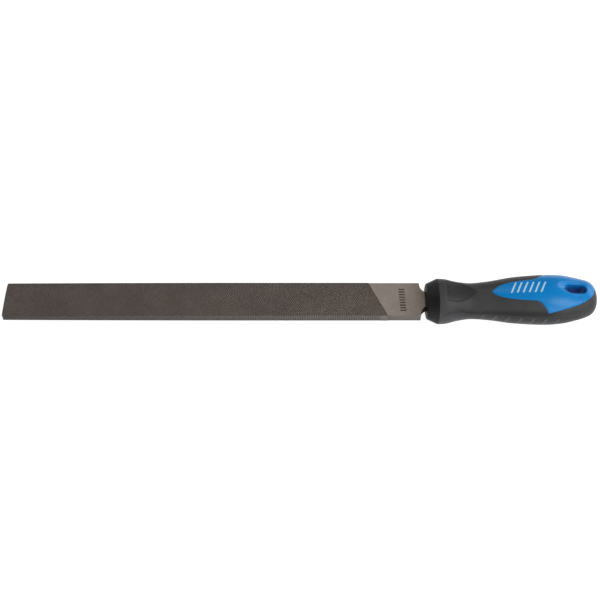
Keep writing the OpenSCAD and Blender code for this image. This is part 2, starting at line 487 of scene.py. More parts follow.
# Edge of the cut face, the small bevel beyond it, and the single-cut teeth of the near edge
EDGE_BEVEL = 0.1
RIM_DROP = 0.18
END_BEVEL = 0.36
EDGE_TOOTH_PITCH = 1.25
EDGE_TOOTH_WANDER = 0.05
EDGE_TOOTH_FRONT = 0.35
EDGE_TOOTH_DEPTH = 0.24
EDGE_TEETH_END = CUT_END + 5
EDGE_TEETH_FADE = 6
HEEL_INSET = 0.22
HEEL_END_X = SHOULDER_X - 2.0
HEEL_STEP = 0.06
HEEL_Z = HALF_THICKNESS - CUT_RELIEF
HEEL_HALF = HALF_WIDTH - HEEL_INSET - EDGE_BEVEL

# Limits of the cut face, and the length of its long sides with the heel
END_X = POINT_X + END_BEVEL + POINT_CROWN
NEAR_Y = -HALF_WIDTH + EDGE_TOOTH_DEPTH + 0.02
FAR_Y = HALF_WIDTH - EDGE_BEVEL
RIM_LENGTH = HEEL_END_X - END_X

# Two places closer than this are the same place
TINY = 1e-5

CUT, EDGE, GROUND, STAMPED = range(4)


def face_height(x):
    """Height of the tooth tips over the middle plane."""
    return HALF_THICKNESS - TAPER_DEPTH * max(1 - (x - POINT_X) / TAPER_LENGTH, 0) ** 2


class ToothRows:
    """One cut: rows of teeth with a steep front and a long back, at slightly uneven spacing."""

    def __init__(self, lean, pitch, depth, low, high, last, wander):
        self.lean = lean
        count_down = math.ceil((last - low) / pitch) + 1
        count_up = math.ceil((high - last) / pitch) + 1
        valleys = [last + k * pitch for k in range(-count_down, count_up + 1)]
        valleys = [v + (random.uniform(-wander, wander) if v != last else 0) for v in valleys]
        self.marks = []
        for v, after in zip(valleys, valleys[1:]):
            self.marks += [(v, depth), (v + TOOTH_FRONT * (after - v), 0.0)]
        self.places = [m[0] for m in self.marks]

    def drop(self, x, y):
        """How far the cut lowers the face at a point."""
        place = x + self.lean * y
        i = min(max(bisect_right(self.places, place) - 1, 0), len(self.marks) - 2)
        (x0, drop0), (x1, drop1) = self.marks[i:i + 2]
        return blend(drop0, drop1, (place - x0) / (x1 - x0))


def clip(corners, axis, limit, keep_above):
    """Cuts a flat polygon of (x, y) at a line of constant x or y."""
    kept = []
    for a, b in zip(corners, corners[1:] + corners[:1]):
        a_in = (a[axis] >= limit) if keep_above else (a[axis] <= limit)
        b_in = (b[axis] >= limit) if keep_above else (b[axis] <= limit)
        if a_in:
            kept.append(a)
        if a_in != b_in:
            t = (limit - a[axis]) / (b[axis] - a[axis])
            crossing = [blend(a[0], b[0], t), blend(a[1], b[1], t)]
            crossing[axis] = limit
            kept.append(tuple(crossing))
    return kept


def cut_point(x, y, upcut, overcut):
    """Point of the double-cut face."""
    return (x, y, face_height(x) - upcut.drop(x, y) - overcut.drop(x, y))


def add_teeth(shape, upcut, overcut, x_low, y_low, y_high):
    """The double-cut face from x_low to the last up-cut row. Returns the corners on its border."""
    border = set()
    lean_gap = upcut.lean - overcut.lean

    def crossing(over_place, up_place):
        y = (up_place - over_place) / lean_gap
        return (over_place - overcut.lean * y, y)

    up_places = [p for p in upcut.places if p <= CUT_END + TINY]
    for u0, u1 in zip(up_places, up_places[1:]):
        for o0, o1 in zip(overcut.places, overcut.places[1:]):
            cell = [crossing(o0, u0), crossing(o1, u0), crossing(o1, u1), crossing(o0, u1)]
            xs = [c[0] for c in cell]
            ys = [c[1] for c in cell]
            if max(xs) <= x_low or max(ys) <= y_low or min(ys) >= y_high:
                continue
            for axis, limit, keep_above in ((0, x_low, True), (1, y_low, True), (1, y_high, False)):
                cell = clip(cell, axis, limit, keep_above)
            if len(cell) < 3:
                continue
            shape.face([cut_point(x, y, upcut, overcut) for x, y in cell], CUT, False)
            for x, y in cell:
                if x == x_low or y in (y_low, y_high) or abs(x + upcut.lean * y - CUT_END) < TINY:
                    border.add((round(x, 6), round(y, 6)))
    return border


def near_edge_outline():
    """The near edge in plan: single-cut teeth, then plain heel, from the point towards the handle."""
    line = [(POINT_X + POINT_CHAMFER, -HALF_WIDTH)]
    x = POINT_X + POINT_CHAMFER
    while x < EDGE_TEETH_END:
        pitch = EDGE_TOOTH_PITCH + random.uniform(-EDGE_TOOTH_WANDER, EDGE_TOOTH_WANDER)
        fade = min(1.0, (EDGE_TEETH_END - x) / EDGE_TEETH_FADE)
        line.append((x + EDGE_TOOTH_FRONT * pitch, -HALF_WIDTH + EDGE_TOOTH_DEPTH * fade))
        line.append((x + pitch, -HALF_WIDTH))
        x += pitch
    line.append((x + 1, -HALF_WIDTH + HEEL_INSET))
    line.append((HEEL_END_X, -HALF_WIDTH + HEEL_INSET))
    return line


def edge_depth(y):
    """0 at the tips of the near edge's teeth and away from them, up to 1 in their valleys."""
    inward = (y + HALF_WIDTH) / EDGE_TOOTH_DEPTH
    return inward if inward < 1.01 else 0.0


def far_edge_outline():
    """The plain far edge in plan, from the handle towards the point."""
    line = [(HEEL_END_X, HALF_WIDTH - HEEL_INSET), (SHOULDER_X - HEEL_FAR + 1, HALF_WIDTH - HEEL_INSET)]
    x = SHOULDER_X - HEEL_FAR - 1
    while x > POINT_X + POINT_CHAMFER:
        line.append((x, HALF_WIDTH))
        x -= 6
    line.append((POINT_X + POINT_CHAMFER, HALF_WIDTH))
    return line


def point_outline():
    """The crowned end in plan, from the far side to the near side."""
    steps = 12
    half = HALF_WIDTH - POINT_CHAMFER
    line = []
    for i in range(steps + 1):
        y = half * (1 - 2 * i / steps)
        line.append((POINT_X + POINT_CROWN * (y / half) ** 2, y))
    return line


# Generic stamp on the heel: a ladder of plain bars, each (along, across, length, width), and the size of
# a bar's floor as a share of its mouth
STAMP_MIDDLE = SHOULDER_X - 12.8
STAMP_STROKES = [(0.08 * (i - 4), 8.7 - 2.35 * i, 4.4, 1.25) for i in range(9)]
STAMP_DEPTH = 0.1
STAMP_CORNER = 0.25
STAMP_FLOOR = (0.9, 0.8)


def add_heel_face(shape, diagonal, stamped):
    """The plain heel beyond the last row of teeth, with the stamped strokes where asked."""
    outline = [(HEEL_END_X, -HEEL_HALF), (HEEL_END_X, HEEL_HALF)] + diagonal
    loops = [[Vector((x, y, 0)) for x, y in outline]]
    if stamped:
        for along, across, length, width in STAMP_STROKES:
            x, y = STAMP_MIDDLE + along, across
            dx, dy = length / 2, width / 2
            cx, cy = dx - STAMP_CORNER, dy - STAMP_CORNER
            ring = [
                (x - cx, y - dy), (x + cx, y - dy), (x + dx, y - cy), (x + dx, y + cy),
                (x + cx, y + dy), (x - cx, y + dy), (x - dx, y + cy), (x - dx, y - cy)
            ]
            loops.append([Vector((px, py, 0)) for px, py in ring])
            top = [(px, py, HEEL_Z) for px, py in ring]
            low = HEEL_Z - STAMP_DEPTH
            floor = [(blend(x, px, STAMP_FLOOR[0]), blend(y, py, STAMP_FLOOR[1]), low) for px, py in ring]
            for k in range(len(ring)):
                after = (k + 1) % len(ring)
                shape.face([top[after], top[k], floor[k], floor[after]], STAMPED, False)
            shape.face(floor, STAMPED, False)
    flat = [v for loop in loops for v in loop]
    for triangle in tessellate_polygon(loops):
        a, b, c = [flat[k] for k in triangle]
        corners = [(v.x, v.y, HEEL_Z) for v in (a, b, c)]
        if (b - a).cross(c - a).z < 0:
            corners.reverse()
        shape.face(corners, GROUND, False)


def add_neck_and_tang(shape):
    """From the heel past the hollow shoulders to the tip of the tang."""
    half = HALF_WIDTH - HEEL_INSET
    arc_x = SHOULDER_X + SHOULDER_RADIUS
    arc_y = TANG_HALF_WIDTH + SHOULDER_RADIUS
    stations = [(HEEL_END_X, half, HEEL_Z)]
    for back, inward in ((0.55, 0), (0.25, 0.08), (0.06, 0.28), (0, 0.6)):
        stations.append((SHOULDER_X - back, half - inward, HEEL_Z))
    arc_steps = 14
    for i in range(arc_steps + 1):
        turn = math.pi / 2 * i / arc_steps
        x = arc_x - (SHOULDER_RADIUS - SHOULDER_INSET) * math.cos(turn)
        t = blend(HEEL_Z, TANG_HALF_THICKNESS, i / arc_steps)
        stations.append((x, arc_y - SHOULDER_RADIUS * math.sin(turn), t))
    tang_steps = 8
    for i in range(1, tang_steps + 1):
        k = i / tang_steps
        w = blend(TANG_HALF_WIDTH, TANG_TIP_HALF_WIDTH, k)
        t = blend(TANG_HALF_THICKNESS, TANG_TIP_HALF_THICKNESS, k)
        stations.append((blend(arc_x, TANG_TIP_X, k), w, t))
    rim = CUT_RELIEF - RIM_DROP
    rings = []
    for x, w, t in stations:
        w_in = w - EDGE_BEVEL
        t_in = t + rim
        rings.append([
            (x, w_in, t), (x, -w_in, t), (x, -w, t_in), (x, -w, -t_in),
            (x, -w_in, -t), (x, w_in, -t), (x, w, -t_in), (x, w, t_in), (x, w_in, t)
        ])
    shape.side = 1
    for k in range(len(rings[0]) - 1):
        shape.grid([ring[k:k + 2] for ring in rings], EDGE if k in (2, 6) else GROUND)
    shape.face(rings[-1][:-1], GROUND, False)


def rim_place(x, y):
    """How far along the rim a point lies, from 0 at the far heel round the point to 3 at the near heel."""
    if y >= FAR_Y - 0.5 and x > END_X - TINY:
        return (HEEL_END_X - x) / RIM_LENGTH
    if y <= NEAR_Y + 0.5 and x > END_X - TINY:
        return 2 + (x - END_X) / RIM_LENGTH
    return 1 + min(max((FAR_Y - y) / (FAR_Y - NEAR_Y), 0), 1)


def rim_points():
    """The rim round the blade, below the cut face, as (place along it, point)."""
    rim = []
    for x, y in far_edge_outline():
        rim.append((min((HEEL_END_X - x) / RIM_LENGTH, 1.0), x, y))
    for x, y in point_outline():
        rim.append((1 + min(max((FAR_Y - y) / (FAR_Y - NEAR_Y), 0.001), 0.999), x, y))
    for x, y in near_edge_outline():
        rim.append((2 + max((x - END_X) / RIM_LENGTH, 0.0), x, y))
    return [(t, (x, y, face_height(x) - RIM_DROP)) for t, x, y in rim]


def add_cut_side(shape, upcut, overcut, rim, stamped):
    """One side of the blade: the teeth, the step down to the plain heel, and the bevel to the rim."""
    def tooth_point(x, y):
        return cut_point(x, y, upcut, overcut)

    border = add_teeth(shape, upcut, overcut, END_X, NEAR_Y, FAR_Y)
    far_border = sorted((p for p in border if abs(p[1] - FAR_Y) < TINY), reverse=True)
    near_border = sorted(p for p in border if abs(p[1] - NEAR_Y) < TINY)
    end_border = sorted((p for p in border if abs(p[0] - END_X) < TINY), key=lambda p: -p[1])
    diagonal = [p for p in border if abs(p[0] + UPCUT_LEAN * p[1] - CUT_END) < 10 * TINY]
    diagonal.sort(key=lambda p: -p[1])
    twins = [(x + HEEL_STEP, min(max(y, -HEEL_HALF), HEEL_HALF)) for x, y in diagonal]
    for (a, b), (ta, tb) in zip(zip(diagonal, diagonal[1:]), zip(twins, twins[1:])):
        shape.face([tooth_point(*a), tooth_point(*b), (*tb, HEEL_Z), (*ta, HEEL_Z)], GROUND, False)
    add_heel_face(shape, twins, stamped)

    inner = [(0.0, (HEEL_END_X, HEEL_HALF, HEEL_Z)), (rim_place(*twins[0]), (*twins[0], HEEL_Z))]
    for x, y in far_border + end_border[1:-1] + near_border:
        inner.append((rim_place(x, y), tooth_point(x, y)))
    inner.append((rim_place(*twins[-1]), (*twins[-1], HEEL_Z)))
    inner.append((3.0, (HEEL_END_X, -HEEL_HALF, HEEL_Z)))
    stitch(shape, inner, rim, EDGE)


def build_blade():
    """The whole blade and tang as one closed skin, with real teeth on both faces and the near edge."""
    shape = Shape()
    x_span = (POINT_X - HALF_WIDTH * 2, SHOULDER_X + HALF_WIDTH * 2)
    upcut = ToothRows(UPCUT_LEAN, UPCUT_PITCH, UPCUT_DEPTH, *x_span, CUT_END, UPCUT_WANDER)
    overcut = ToothRows(OVERCUT_LEAN, OVERCUT_PITCH, OVERCUT_DEPTH, *x_span, CUT_END, OVERCUT_WANDER)
    rim = rim_points()
    for side in (1, -1):
        shape.side = side
        add_cut_side(shape, upcut, overcut, rim, side > 0)
    shape.side = 1
    for (_, (x0, y0, z0)), (_, (x1, y1, z1)) in zip(rim, rim[1:]):
        shape.face([(x0, y0, z0), (x0, y0, -z0), (x1, y1, -z1), (x1, y1, z1)], EDGE, False)
    add_neck_and_tang(shape)
    blade = mesh_object(
        "file_blade_steel", shape, [cut_steel(), edge_steel(), ground_steel(), stamped_steel()], 12
    )
    deepest = UPCUT_DEPTH + OVERCUT_DEPTH
    paint(blade, "tooth_depth", [(face_height(x) - abs(z)) / deepest for x, _, z in shape.points])
    paint(blade, "edge_tooth", [edge_depth(y) for _, y, _ in shape.points])
    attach(blade, "root")
    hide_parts("file_blade")


# ---- handle form

HANDLE_LENGTH = GRIP_HIGH[0] - HANDLE_X
FRONT_RADIUS = 12.8
FRONT_ROUND = 0.7
CONE_LENGTH = 8.0
BUTT_ROUND = 9.6
BUTT_POWER = 2.5

# The front face and the collar are this much out of square, which dies away along the handle
LEAN = math.tan(math.radians(2))
LEAN_LENGTH = 40

# Distance from the front face, half width, half thickness, sideways offset of the middle
SECTIONS = [
    (9, 16.5, 16.5, 0.1),
    (14, 16.1, 16.1, 0.12),
    (20, 14.6, 14.6, 0.15),
    (25, 13.7, 13.7, 0.25),
    (32, 13.0, 13.0, 0.4),
    (46, 14.3, 14.0, 0.8),
    (62, 17.2, 15.6, 1.2),
    (0.69 * HANDLE_LENGTH, 18.97, 16.46, 1.65),
    (0.8 * HANDLE_LENGTH, 18.8, 14.7, 2.1),
    (0.88 * HANDLE_LENGTH, 16.9, 12.2, 2.45),
    (HANDLE_LENGTH - 7, 14.6, 10.4, 2.9),
    (HANDLE_LENGTH, 13.4, 9.3, 3.6)
]
COLLAR_RADIUS = SECTIONS[0][1]

# Edges of the window in the grip, in plan: cubic curves of (distance from the front, offset from the axis)
NEAR_CURVES = [
    [(46.2, -1.2), (47.6, -6), (62, -8.3), (75.6, -9)],
    [(75.6, -9), (80, -9.4), (82.6, -11.8), (85.8, -15.8)],
    [(85.8, -15.8), (100.8, -13.7), (121.2, -7), (121.2, 6.5)]
]
FAR_CURVES = [
    [(46.2, -1.2), (51, 5.5), (62, 7.6), (74.5, 8.8)],
    [(74.5, 8.8), (79, 9.6), (82.5, 14), (86, 18.8)],
    [(86, 18.8), (113, 18.6), (121.2, 14.5), (121.2, 6.5)]
]

# Width of the window as a share of the one on top, for each face
TOP_SHARE = 1.0
UNDER_SHARE = 0.84
WINDOW_FRONT = NEAR_CURVES[0][0][0]
WINDOW_BACK = NEAR_CURVES[-1][-1][0]

HOLE_HALF_LENGTH = 7.8
HOLE_HALF_WIDTH = 4.3
HOLE_S = HANDLE_LENGTH - 16.8
HOLE_Y = 3.0
HOLE_TURN = math.radians(5)
HOLE_REACH = HOLE_HALF_LENGTH - HOLE_HALF_WIDTH
HOLE_COS = math.cos(HOLE_TURN)
HOLE_SIN = math.sin(HOLE_TURN)
HOLE_FRONT = HOLE_S - HOLE_REACH * HOLE_COS - HOLE_HALF_WIDTH
HOLE_BACK = HOLE_S + HOLE_REACH * HOLE_COS + HOLE_HALF_WIDTH


def cubic(p, t):
    k = 1 - t
    return k ** 3 * p[0] + 3 * k * k * t * p[1] + 3 * k * t * t * p[2] + t ** 3 * p[3]


def section_slope(i, k):
    low = max(i - 1, 0)
    high = min(i + 1, len(SECTIONS) - 1)
    return (SECTIONS[high][k] - SECTIONS[low][k]) / (SECTIONS[high][0] - SECTIONS[low][0])


def section_value(s, k):
    i = 0
    while i < len(SECTIONS) - 2 and s > SECTIONS[i + 1][0]:
        i += 1
    w = SECTIONS[i + 1][0] - SECTIONS[i][0]
    y0, y1 = SECTIONS[i][k], SECTIONS[i + 1][k]
    controls = (y0, y0 + section_slope(i, k) * w / 3, y1 - section_slope(i + 1, k) * w / 3, y1)
    return cubic(controls, (s - SECTIONS[i][0]) / w)


def section(s):
    """Half width, half thickness and sideways offset at a distance from the front face."""
    if s < CONE_LENGTH + 1:
        radius = blend(FRONT_RADIUS, COLLAR_RADIUS, min(s / CONE_LENGTH, 1))
        if s < FRONT_ROUND:
            radius -= FRONT_ROUND - math.sqrt(max(FRONT_ROUND ** 2 - (FRONT_ROUND - s) ** 2, 0))
        return radius, radius, SECTIONS[0][3]
    a, b, y = section_value(s, 1), section_value(s, 2), section_value(s, 3)
    into_butt = (s - (HANDLE_LENGTH - BUTT_ROUND)) / BUTT_ROUND
    if into_butt > 0:
        k = max(1 - into_butt ** BUTT_POWER, 0) ** (1 / BUTT_POWER)
        a, b = a * k, b * k
    return a, b, y


def curve_offset(curves, s):
    """Offset of a window edge at a distance from the front face."""
    places, offsets = zip(*next((c for c in curves if s <= c[3][0]), curves[-1]))
    low, high = 0.0, 1.0
    halvings = 40
    for _ in range(halvings):
        t = (low + high) / 2
        if cubic(places, t) < s:
            low = t
        else:
            high = t
    return cubic(offsets, (low + high) / 2)


def angle_of(s, y):
    """Angle round the section, from +Y towards +Z, of the upper surface point at offset y."""
    a, _, middle = section(s)
    return math.acos(min(max((y - middle) / a, -1), 1))


def window_angles(s, share):
    """Angles of the near and the far edge of the window, or the line where they meet, at s."""
    if s <= WINDOW_FRONT:
        tip = angle_of(WINDOW_FRONT, share * NEAR_CURVES[0][0][1])
        middle = blend(math.pi / 2, tip, smoothstep(0, WINDOW_FRONT, s))
        return middle, middle
    if s >= WINDOW_BACK:
        end = angle_of(WINDOW_BACK, share * NEAR_CURVES[-1][3][1])
        return end, end
    return tuple(angle_of(s, share * curve_offset(curves, s)) for curves in (NEAR_CURVES, FAR_CURVES))


# Spacing of the first points beside a seam or an opening
FINE = [0.0, 0.08, 0.17, 0.3, 0.48, 0.75, 1.15]


def fine_span(start, end, step, fine_start=True, fine_end=True, count=None):
    """Places from start to end, about step apart or count steps, and closer together at fine ends."""
    reach = min(1.0, (end - start) / (3 * FINE[-1]))
    head = [start + f * reach for f in FINE] if fine_start else [start]
    tail = [end - f * reach for f in reversed(FINE)] if fine_end else [end]
    gap = tail[0] - head[-1]
    count = count or max(round(gap / step), 1)
    return head + [head[-1] + gap * i / count for i in range(1, count)] + tail


def handle_places():
    """Distances from the front face at which the handle's sections are drawn."""
    butt_from = HANDLE_LENGTH - BUTT_ROUND
    places = [0.0, 0.05, 0.15, 0.3, 0.5, 0.7, 1.4]
    places += fine_span(2.2, CONE_LENGTH, 0.8, False, True)
    places += fine_span(CONE_LENGTH, WINDOW_FRONT, 0.62)
    places += fine_span(WINDOW_FRONT, NEAR_CURVES[1][0][0], 0.66, True, False)
    places += fine_span(NEAR_CURVES[1][0][0], NEAR_CURVES[1][3][0], 0.5, False, True)
    places.append(FAR_CURVES[1][3][0])
    places += fine_span(FAR_CURVES[1][3][0], HOLE_FRONT, 0.6)
    places += fine_span(HOLE_FRONT, HOLE_BACK, 0.55)
    places += fine_span(HOLE_BACK, WINDOW_BACK, 0.45)
    places += fine_span(WINDOW_BACK, HANDLE_LENGTH - 0.15, 0.3, True, False)
    places += [butt_from + BUTT_ROUND * math.sin(math.radians(d)) for d in (84.5, 86, 87.5, 89)]
    places = sorted(set(round(p, 5) for p in places))
    return [p for i, p in enumerate(places) if i == 0 or p - places[i - 1] > 0.012]


def window_outline():
    """Dense points of the window edge on both faces, for distances to the seam."""
    points = []
    steps = 60
    for side, share in ((1, TOP_SHARE), (-1, UNDER_SHARE)):
        for curve in NEAR_CURVES + FAR_CURVES:
            for i in range(steps + 1):
                s = cubic([p[0] for p in curve], i / steps)
                y = share * cubic([p[1] for p in curve], i / steps)
                a, b, middle = section(s)
                points.append((s, y, side * b * math.sqrt(max(1 - ((y - middle) / a) ** 2, 0))))
    return points


SEAM = window_outline()
SEAM_DEPTH = 0.32
SEAM_WIDTH = 0.42


def seam_drop(s, y, z):
    """Depth of the soft groove along the seam between core and grip."""
    reach = 3 * SEAM_WIDTH
    nearest = reach * reach
    for ps, py, pz in SEAM:
        ds = ps - s
        if -reach < ds < reach:
            d = ds * ds + (py - y) ** 2 + (pz - z) ** 2
            if d < nearest:
                nearest = d
    if nearest >= reach * reach:
        return 0.0
    fade = 1 - 0.8 * smoothstep(WINDOW_BACK - 7, WINDOW_BACK - 1, s)
    return SEAM_DEPTH * math.exp(-nearest / SEAM_WIDTH ** 2) * fade


# Thumb rest: a teardrop on the upper and lower faces, just behind the collar
REST_FRONT = 11.5
REST_BACK = 35.6
REST_MIDDLE = -0.6
REST_HALF = 8.9
REST_WIDEST = 0.2
REST_DEPTH = 0.4
REST_SLOPE = 0.55
REST_FRONT_RISE = 0.2


def rest_mask(s, y):
    """1 inside the thumb rest, 0 outside, with a narrow slope between."""
    t = (s - REST_FRONT) / (REST_BACK - REST_FRONT)
    if not 0 < t < 1:
        return 0.0
    if t < REST_WIDEST:
        half = REST_HALF * (1 - (1 - t / REST_WIDEST) ** 3) ** (1 / 3)
    else:
        half = REST_HALF * (1 - ((t - REST_WIDEST) / (1 - REST_WIDEST)) ** 1.8) ** 0.75
    inside = half - abs(y - REST_MIDDLE)
    to_end = min((s - REST_FRONT) * REST_FRONT_RISE, REST_BACK - s)
    return smoothstep(0.0, REST_SLOPE, min(inside, to_end))


# Finger panel: a shallow band along the near side, with slanted ribs left standing in it.
# Its upper edge is given as (distance from the front, degrees above the side line).
PANEL_EDGE = [
    (9.5, -2), (12.5, 11), (15, 16), (19, 18), (24, 15), (29, 5), (34, 2), (42, 5), (66, 10.5), (112, 12)
]
PANEL_LOWER = 30
PANEL_SLOPE = 2.5
PANEL_DEPTH = 0.26
PANEL_BACK = 104
RIB_PITCH = 8.8
RIB_FIRST = 39.3
RIB_COUNT = 7
RIB_MIDDLE = 8
RIB_HALF_ANGLE = 16
RIB_HALF_WIDTH = 1.15
RIB_LEAN = 1.8


def panel_edge(s):
    """Upper edge of the finger panel at s, in degrees above the side line."""
    i = 0
    while s > PANEL_EDGE[i + 1][0]:
        i += 1
    (s0, a0), (s1, a1) = PANEL_EDGE[i], PANEL_EDGE[i + 1]
    return blend(a0, a1, smoothstep(s0, s1, s))


def panel_ends(s):
    """1 along the finger panel, fading to 0 at its two ends."""
    return smoothstep(0, 3, s - PANEL_EDGE[0][0]) * (1 - smoothstep(PANEL_BACK, PANEL_BACK + 8, s))


def panel_mask(s, angle):
    """1 in the finger panel, 0 outside. angle is in radians from 0 to a full turn."""
    above = 180 - math.degrees(angle)
    if panel_ends(s) == 0 or abs(above) > PANEL_LOWER + PANEL_SLOPE:
        return 0.0
    upper = smoothstep(-PANEL_SLOPE, 0, panel_edge(s) - above)
    return upper * smoothstep(-PANEL_SLOPE, 0, above + PANEL_LOWER) * panel_ends(s)


def crease_shade_mask(s, angle):
    """1 just above the finger panel, fading to 0 in the panel and higher up: where painted shade goes."""
    if panel_ends(s) == 0:
        return 0.0
    over = 180 - math.degrees(angle) - panel_edge(s)
    into_waist = smoothstep(18, 30, s)
    reach = 12 + 14 * into_waist
    along = (0.6 + 0.4 * into_waist) * (1 - 0.7 * smoothstep(78, 96, s))
    return smoothstep(-2, 1, over) * (1 - smoothstep(reach / 3, reach, over)) * panel_ends(s) * along


def rib_mask(s, angle):
    """1 on top of a finger rib, 0 between the ribs."""
    low = (math.degrees(angle) - 180 - RIB_MIDDLE) / RIB_HALF_ANGLE
    if abs(low) > 1:
        return 0.0
    place = (s + RIB_LEAN * low - RIB_FIRST) / RIB_PITCH
    nearest = min(max(round(place), 0), RIB_COUNT - 1)
    off = abs(place - nearest) * RIB_PITCH / RIB_HALF_WIDTH
    return (1 - smoothstep(0.3, 1.0, off)) * (1 - smoothstep(0.8, 1.0, abs(low)))


def on_handle(s, angle, drop=0.0):
    """Point on the handle's skin, or drop below it, at an angle round the section at s."""
    a, b, middle = section(s)
    y = middle + (a - drop) * math.cos(angle)
    shift = y * LEAN * max(1 - s / LEAN_LENGTH, 0)
    return (HANDLE_X + s - shift, y, (b - drop) * math.sin(angle))


def front_distance(x, y):
    """Distance from the front face of a point on the skin, which is s in the other functions."""
    s = (x - HANDLE_X + y * LEAN) / (1 + y * LEAN / LEAN_LENGTH)
    return s if s < LEAN_LENGTH else x - HANDLE_X


def place_on_skin(x, y, z):
    """Distance from the front face and angle round the section, from 0 to a full turn, of a point."""
    s = front_distance(x, y)
    a, b, middle = section(s)
    return s, math.atan2(z / max(b, 0.01), (y - middle) / max(a, 0.01)) % (2 * math.pi)


def column_angles(s, start, end, count):
    """count + 1 angles from start to end round the section at s, finer beside both."""
    a, b, _ = section(s)
    length = abs(end - start) * (a + b) / 2
    if length < TINY:
        return [start] * (count + 1)
    places = fine_span(0, length, None, count=count - 2 * (len(FINE) - 1))
    return [blend(start, end, p / length) for p in places]


# ---- grip

GRIP_COLUMNS = 84
GRIP_THICKNESS = 2.2
SOCKET_HALF_WIDTH = 6.55
SOCKET_HALF_THICKNESS = 3.25
SOCKET_POWER = 0.3

GRIP, COLLAR = range(2)


def grip_point(s, angle):
    _, y, z = on_handle(s, angle)
    turn = angle % (2 * math.pi)
    panel = PANEL_DEPTH * panel_mask(s, turn) * (1 - rib_mask(s, turn))
    return on_handle(s, angle, seam_drop(s, y, z) + panel + REST_DEPTH * rest_mask(s, y))


def front_rows(angles):
    """Rows from inside the socket's mouth, over the flat front face, to the rounded front edge."""
    def mouth(angle, depth, grow):
        c, n = math.cos(angle), math.sin(angle)
        y = (SOCKET_HALF_WIDTH + grow) * math.copysign(abs(c) ** SOCKET_POWER, c)
        z = (SOCKET_HALF_THICKNESS + grow) * math.copysign(abs(n) ** SOCKET_POWER, n)
        return (HANDLE_X + depth, y, z)

    profile = ((5.0, 0), (0.5, 0), (0.12, 0.12), (0, 0.5))
    rows = [[mouth(a, depth, grow) for a in angles] for depth, grow in profile]
    radius, _, middle = section(0)
    for k in (0.35, 0.7):
        row = []
        for a, inner in zip(angles, rows[3]):
            outer = (HANDLE_X, middle + radius * math.cos(a), radius * math.sin(a))
            row.append([blend(c, d, k) for c, d in zip(inner, outer)])
        rows.append(row)
    return rows


def build_grip():
    """The soft overmould: two strips that meet ahead of the window and behind it."""
    shape = Shape()
    places = handle_places()
    for near in (True, False):
        rows = []
        for s in places:
            near_top, far_top = window_angles(s, TOP_SHARE)
            near_under, far_under = window_angles(s, UNDER_SHARE)
            if near:
                angles = column_angles(s, near_top, 2 * math.pi - near_under, GRIP_COLUMNS)
            else:
                angles = column_angles(s, -far_under, far_top, GRIP_COLUMNS)
            if s == 0:
                rows += front_rows(angles)
            rows.append([grip_point(s, a) for a in angles])
            if s == CONE_LENGTH:
                shape.grid(rows, COLLAR)
                rows = rows[-1:]
        tip = (HANDLE_X + HANDLE_LENGTH, SECTIONS[-1][3], 0.0)
        rows.append([tip for _ in rows[-1]])
        shape.grid(rows, GRIP)
    grip = mesh_object("handle_grip_overmould", shape, [grip_rubber(), collar_rubber()], 55)
    paint(grip, "thumb_rest", [rest_mask(front_distance(x, y), y) for x, y, _ in shape.points])
    places = [place_on_skin(*p) for p in shape.points]
    # Masks for the painted reflection on the finger panel, the painted highlights on its ribs and the
    # painted shade above it
    paint(grip, "finger_panel", [panel_mask(s, a) for s, a in places])
    paint(grip, "finger_rib_highlight", [panel_mask(s, a) * rib_mask(s, a) for s, a in places])
    paint(grip, "crease", [crease_shade_mask(s, a) for s, a in places])
    wall = grip.modifiers.new("wall", "SOLIDIFY")
    wall.thickness = GRIP_THICKNESS * MM
    wall.offset = -1
    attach(grip, "root")
    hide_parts("handle_grip")


# ---- core

CORE_COLUMNS = 56
RIM_ROUND = 0.8

# Dish round the hang hole: an oval in plan, deepest in front of the hole and gone behind it
DISH_S = HOLE_S + 0.8
DISH_HALF_LENGTH = 14.0
DISH_HALF_WIDTH = 6.1
DISH_STEP = 0.5
DISH_SLOPE = 0.28


def hole_edges(s):
    """Offsets of the near and the far edge of the hang hole at s."""
    tops = []
    for side in (-1, 1):
        highs = []
        for end in (-1, 1):
            ds = s - (HOLE_S + end * HOLE_REACH * HOLE_COS)
            if abs(ds) <= HOLE_HALF_WIDTH:
                rise = math.sqrt(HOLE_HALF_WIDTH ** 2 - ds * ds)
                highs.append(end * HOLE_REACH * HOLE_SIN * side + rise)
        if abs(s - HOLE_S + side * HOLE_HALF_WIDTH * HOLE_SIN) <= HOLE_REACH * HOLE_COS:
            highs.append((s - HOLE_S) * HOLE_SIN / HOLE_COS * side + HOLE_HALF_WIDTH / HOLE_COS)
        tops.append(side * max(highs) if highs else 0.0)
    return HOLE_Y + tops[0], HOLE_Y + tops[1]


def slot_distance(s, y):
    """Distance outside the hang hole's outline, in plan."""
    along = (s - HOLE_S) * HOLE_COS + (y - HOLE_Y) * HOLE_SIN
    across = (y - HOLE_Y) * HOLE_COS - (s - HOLE_S) * HOLE_SIN
    return math.hypot(max(abs(along) - HOLE_REACH, 0), across) - HOLE_HALF_WIDTH


def dish_inside(s, y):
    """Distance inside the dish's outline, in plan."""
    ds, dy = s - DISH_S, y - HOLE_Y
    q = math.hypot(ds / DISH_HALF_LENGTH, dy / DISH_HALF_WIDTH)
    return (1 / max(q, 0.05) - 1) * math.hypot(ds, dy)


def dish_drop(s, y):
    """Depth of the dish round the hang hole and of the rounded rim inside it."""
    inside = dish_inside(s, y)
    rounded = RIM_ROUND * max(1 - max(slot_distance(s, y), 0.0) / RIM_ROUND, 0) ** 2
    if inside <= 0:
        return rounded
    step = DISH_STEP * smoothstep(0, 0.45, inside) * (1 - smoothstep(HOLE_S - 4, HOLE_S + 6, s))
    slope = DISH_SLOPE * inside * (1 - smoothstep(HOLE_S - 8, HOLE_S + 5, s))
    return step + slope + rounded


